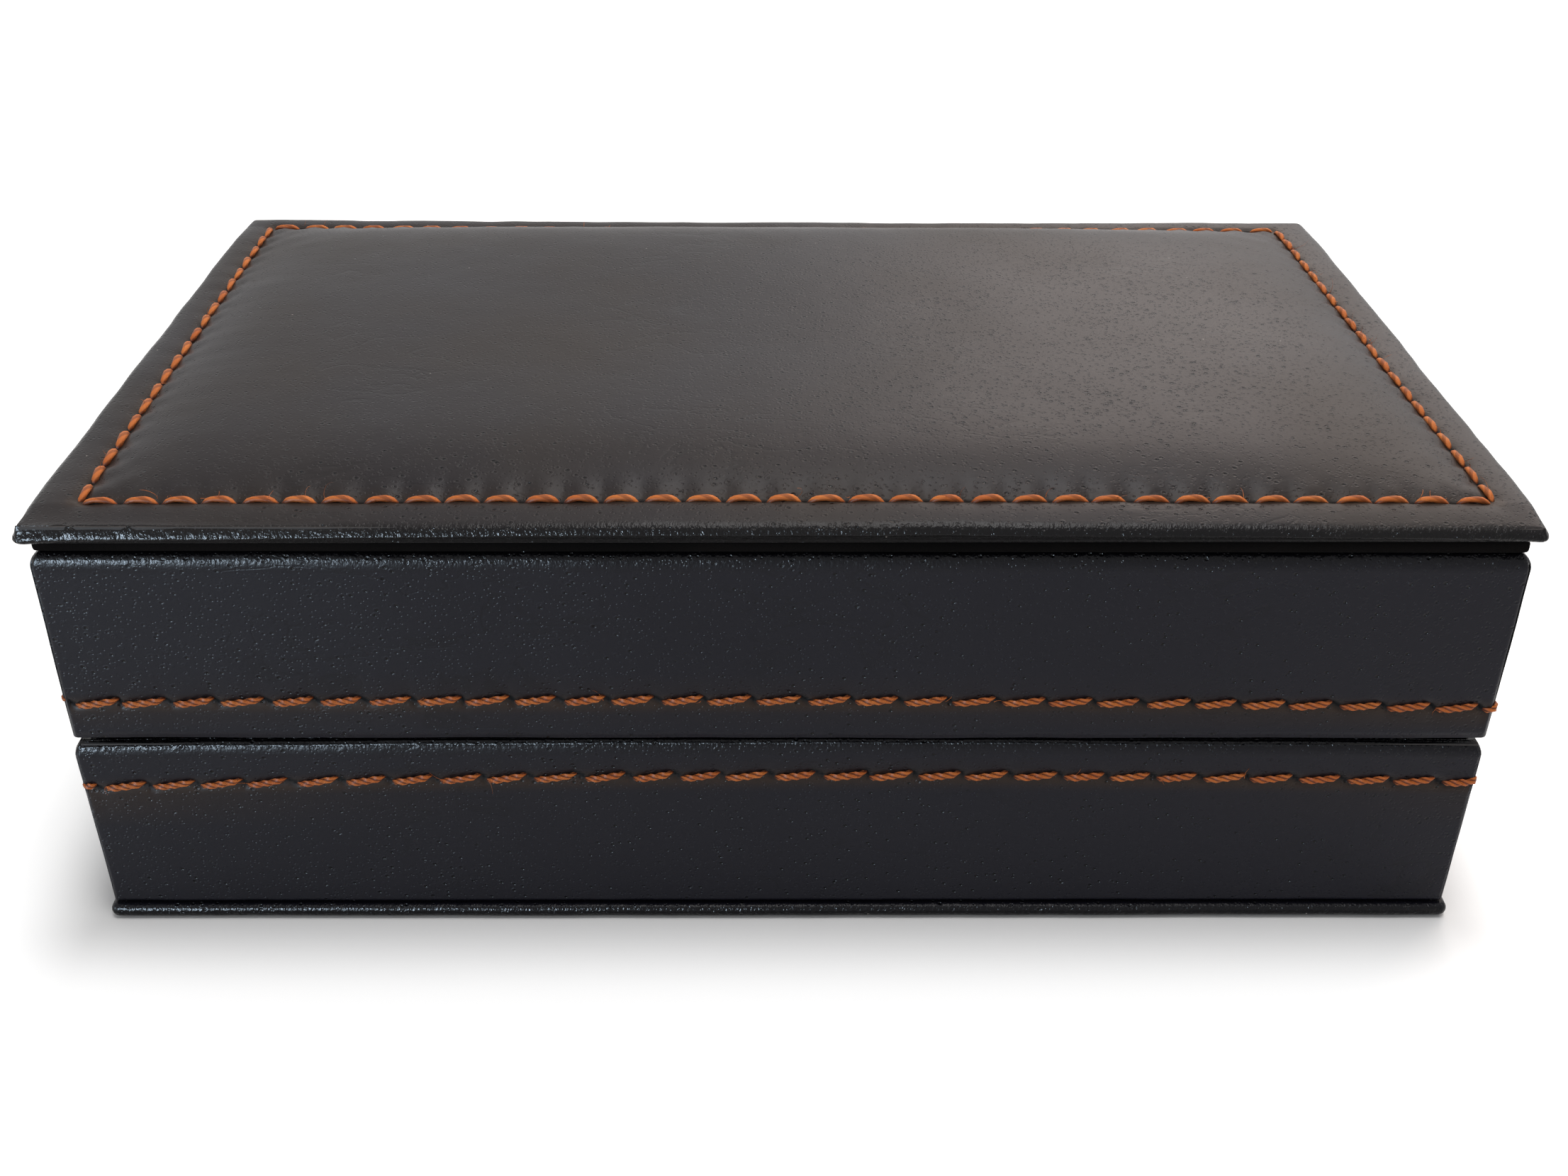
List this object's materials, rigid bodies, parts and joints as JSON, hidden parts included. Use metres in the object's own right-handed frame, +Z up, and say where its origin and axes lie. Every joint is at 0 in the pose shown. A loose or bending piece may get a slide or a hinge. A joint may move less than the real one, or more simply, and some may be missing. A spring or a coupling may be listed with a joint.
{
  "type": "cufflink box",
  "caption": "Leather-covered cufflink box with a padded hinged lid over a divided tray, and a full-width drawer below it.",
  "frame": {"origin": "centre of the base, on the plane that the box stands on", "axes": "+X to the right along the front, -Y out of the front, +Z up"},
  "size_m": [0.2006, 0.1206, 0.0705],
  "materials": {
    "leather": "semi-gloss dark leather with fine pores",
    "thread": "waxed tan thread",
    "board": "fibreboard covered with dark lining paper",
    "foam": "soft foam",
    "velour": "dark velour on card",
    "felt": "black felt",
    "brass": "polished brass"
  },
  "bodies": {
    "case": {"back_board": "board", "base_board": "board", "base_felt": "felt", "base_leather": "leather", "bay_floor_lining": "velour", "case_leather": "leather", "front_board": "board", "hinge_case_screws": "brass", "hinge_left_case_leaf": "brass", "hinge_left_pin": "brass", "hinge_right_case_leaf": "brass", "hinge_right_pin": "brass", "housing_stitching": "thread", "side_board_left": "board", "side_board_right": "board", "tray_divider_cross_1": "velour", "tray_divider_cross_2": "velour", "tray_divider_cross_3": "velour", "tray_divider_cross_4": "velour", "tray_divider_cross_5": "velour", "tray_divider_long_1": "velour", "tray_divider_long_2": "velour", "tray_divider_long_3": "velour", "tray_floor_pad": "velour", "tray_lining_back": "velour", "tray_lining_front": "velour", "tray_lining_left": "velour", "tray_lining_right": "velour", "tray_shelf": "board", "tray_stitching": "thread"},
    "lid": {"hinge_left_lid_leaf": "brass", "hinge_lid_screws": "brass", "hinge_right_lid_leaf": "brass", "lid_board": "board", "lid_foam": "foam", "lid_leather": "leather", "lid_lining_pad": "velour", "lid_stitching": "thread"},
    "drawer": {"drawer_back": "board", "drawer_bottom": "board", "drawer_divider_left": "velour", "drawer_divider_right": "velour", "drawer_floor_pad": "velour", "drawer_front_board": "board", "drawer_front_leather": "leather", "drawer_inner_front": "board", "drawer_lining_back": "velour", "drawer_lining_front": "velour", "drawer_lining_left": "velour", "drawer_lining_right": "velour", "drawer_side_left": "board", "drawer_side_right": "board", "drawer_stitching": "thread"}
  },
  "joints": [
    {"name": "lid_hinge", "type": "hinge", "parent": "case", "child": "lid", "pos_m": [0, 0.0583, 0.06365], "axis": [-1, 0, 0], "range_deg": [0, 100]},
    {"name": "drawer_slide", "type": "slide", "parent": "case", "child": "drawer", "axis": [0, -1, 0], "range_m": [0, 0.085]}
  ]
}
